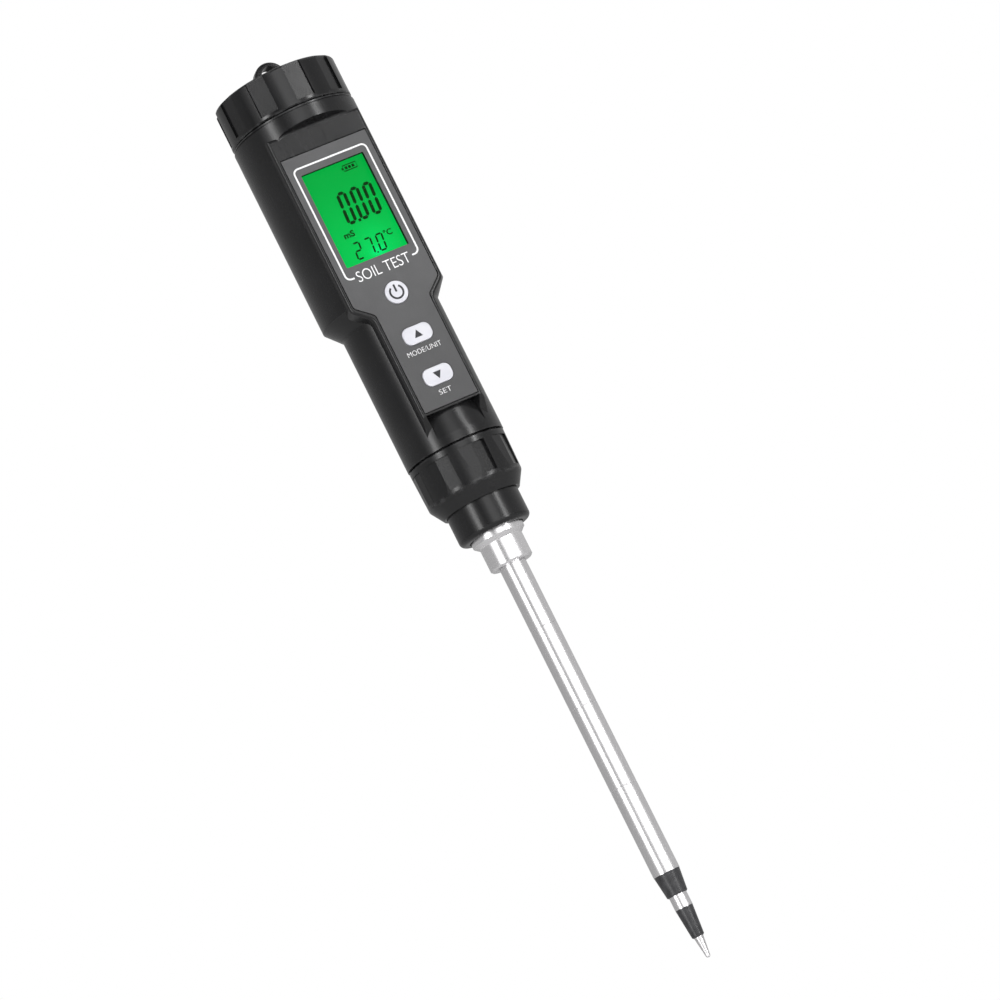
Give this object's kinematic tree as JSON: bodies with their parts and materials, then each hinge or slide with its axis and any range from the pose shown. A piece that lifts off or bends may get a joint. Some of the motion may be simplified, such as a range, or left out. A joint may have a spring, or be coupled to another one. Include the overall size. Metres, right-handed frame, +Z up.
{
  "type": "soil tester",
  "caption": "Hand-held soil tester pen with a lit display, press keys, a fluted battery cap with an eyelet, a coupling nut and a stepped metal rod probe.",
  "frame": {"origin": "point of the probe, on the long axis", "axes": "+Z up the long axis from the probe's point to the cap, display and keys face -Y, +X to the right when looking at the display"},
  "size_m": [0.038, 0.038, 0.2856],
  "materials": {
    "housing_plastic": "fine satin moulded black",
    "cap_plastic": "smooth satin black",
    "label_sheet": "printed grey sheet, fine texture",
    "clear_pane": "clear acrylic",
    "lcd_glass": "green lit display",
    "diffuser_plastic": "milky",
    "inner_plastic": "moulded dark grey",
    "zebra_rubber": "striped conductive rubber",
    "board_laminate": "green solder mask",
    "chip_plastic": "moulded epoxy",
    "screw_steel": "zinc plated",
    "cell_steel": "polished cell can",
    "contact_brass": "gold plated",
    "spring_steel": "drawn wire",
    "button_plastic": "white satin",
    "bright_metal": "bright turned metal",
    "rod_steel": "drawn and polished stainless",
    "insulator_plastic": "black moulded",
    "potting_resin": "cast resin",
    "wire_sleeve": "wire insulation",
    "seal_rubber": "black rubber"
  },
  "bodies": {
    "probe": {"probe_base": "housing_plastic", "ferrule": "bright_metal", "probe_rod": "rod_steel", "upper_insulator": "insulator_plastic", "ring_electrode": "rod_steel", "lower_insulator": "insulator_plastic", "probe_tip": "rod_steel", "thermistor": "potting_resin", "lead_wires": "wire_sleeve", "rod_potting": "potting_resin", "connector_pins": "contact_brass", "probe_o_ring": "seal_rubber"},
    "housing": {"housing": "housing_plastic", "label_overlay": "label_sheet", "display_window": "clear_pane", "lcd_panel": "lcd_glass", "backlight_diffuser": "diffuser_plastic", "lcd_holder": "inner_plastic", "zebra_strips": "zebra_rubber", "circuit_board": "board_laminate", "board_components": "chip_plastic", "tact_switches": "chip_plastic", "board_carrier": "inner_plastic", "carrier_screws": "screw_steel", "battery_tube": "inner_plastic", "button_cells": "cell_steel", "negative_contact": "contact_brass", "connector_socket": "inner_plastic"},
    "coupling_nut": {"coupling_nut": "housing_plastic"},
    "cap_contact": {"contact_plate": "contact_brass", "contact_spring": "spring_steel"},
    "cap": {"battery_cap": "cap_plastic", "cap_o_ring": "seal_rubber"},
    "power_button": {"power_button": "button_plastic"},
    "up_button": {"up_button": "button_plastic"},
    "down_button": {"down_button": "button_plastic"}
  },
  "joints": [
    {"name": "housing_lift", "type": "slide", "parent": "probe", "child": "housing", "axis": [0, 0, 1], "range_m": [0, 0.0072]},
    {"name": "nut_turn", "type": "hinge", "parent": "probe", "child": "coupling_nut", "pos_m": [0, 0, 0.15], "axis": [0, 0, 1], "range_deg": [-1728.5, 0]},
    {"name": "cap_lift", "type": "slide", "parent": "housing", "child": "cap_contact", "axis": [0, 0, 1], "range_m": [0, 0.00562]},
    {"name": "cap_turn", "type": "hinge", "parent": "cap_contact", "child": "cap", "pos_m": [0, 0, 0.27], "axis": [0, 0, 1], "range_deg": [0, 1350.5]},
    {"name": "power_button_press", "type": "slide", "parent": "housing", "child": "power_button", "axis": [0, 1, 0], "range_m": [0, 0.0003], "stiffness_N_per_m": 900},
    {"name": "up_button_press", "type": "slide", "parent": "housing", "child": "up_button", "axis": [0, 1, 0], "range_m": [0, 0.0003], "stiffness_N_per_m": 900},
    {"name": "down_button_press", "type": "slide", "parent": "housing", "child": "down_button", "axis": [0, 1, 0], "range_m": [0, 0.0003], "stiffness_N_per_m": 900}
  ],
  "couplings": [
    {"joint": "nut_turn", "follows": "housing_lift", "rad_per_m": -4188.8},
    {"joint": "cap_turn", "follows": "cap_lift", "rad_per_m": 4188.8}
  ]
}
